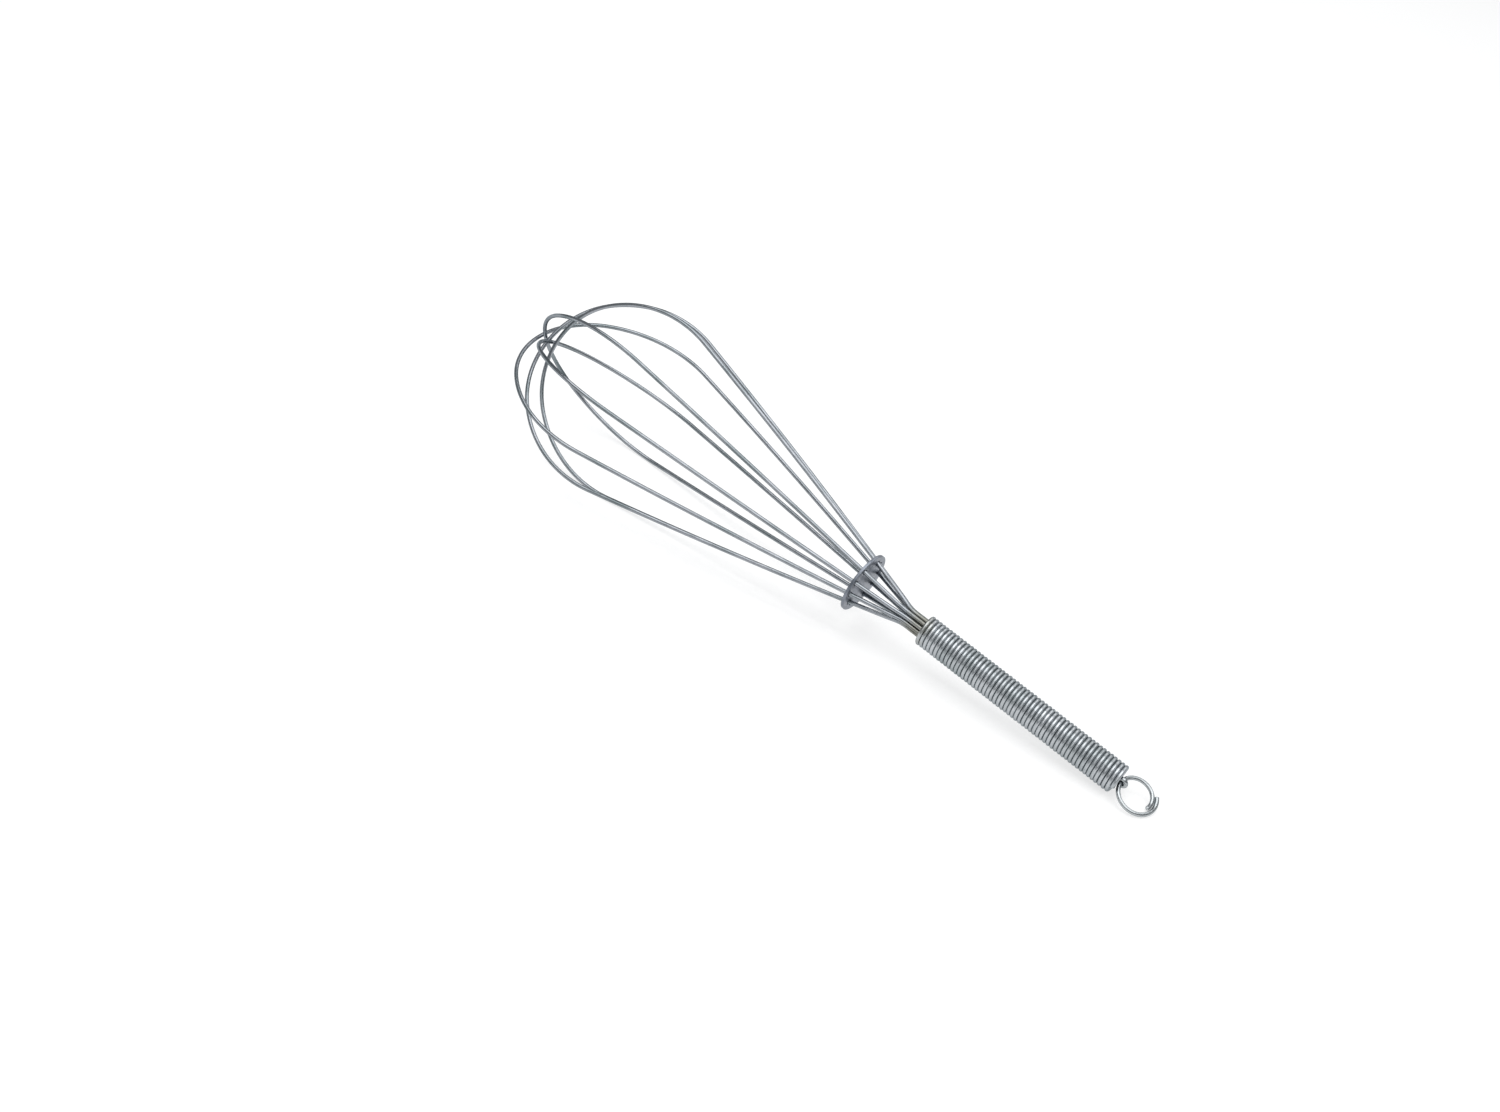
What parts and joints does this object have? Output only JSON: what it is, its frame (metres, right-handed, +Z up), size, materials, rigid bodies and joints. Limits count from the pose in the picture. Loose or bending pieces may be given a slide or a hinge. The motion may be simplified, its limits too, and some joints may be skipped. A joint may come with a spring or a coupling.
{
  "type": "balloon whisk",
  "caption": "Balloon whisk of polished steel wire, with a wound wire handle, a spacer disc in the neck of the loops and a hanging ring on a split pin.",
  "frame": {"origin": "on the table under the middle of the lying whisk", "axes": "+X from the tip of the balloon towards the hanging ring, +Z up"},
  "size_m": [0.2598, 0.0696, 0.0611],
  "materials": {
    "wire_loop_1": "polished",
    "wire_loop_2": "polished",
    "wire_loop_3": "polished",
    "wire_loop_4": "polished",
    "wire_loop_5": "polished",
    "spacer_disc": "satin",
    "handle_coil": "polished",
    "split_pin": "polished",
    "hanging_ring": "polished"
  },
  "bodies": {
    "whisk": {"wire_loop_1": "wire_loop_1", "wire_loop_2": "wire_loop_2", "wire_loop_3": "wire_loop_3", "wire_loop_4": "wire_loop_4", "wire_loop_5": "wire_loop_5", "spacer_disc": "spacer_disc", "handle_coil": "handle_coil", "split_pin": "split_pin"},
    "ring": {"hanging_ring": "hanging_ring"}
  },
  "joints": [
    {"name": "ring_swing", "type": "hinge", "parent": "whisk", "child": "ring", "pos_m": [0.11722, 0, 0.00487], "axis": [0.0277, 0.9744, 0.2232], "range_deg": [-70, 49]}
  ]
}
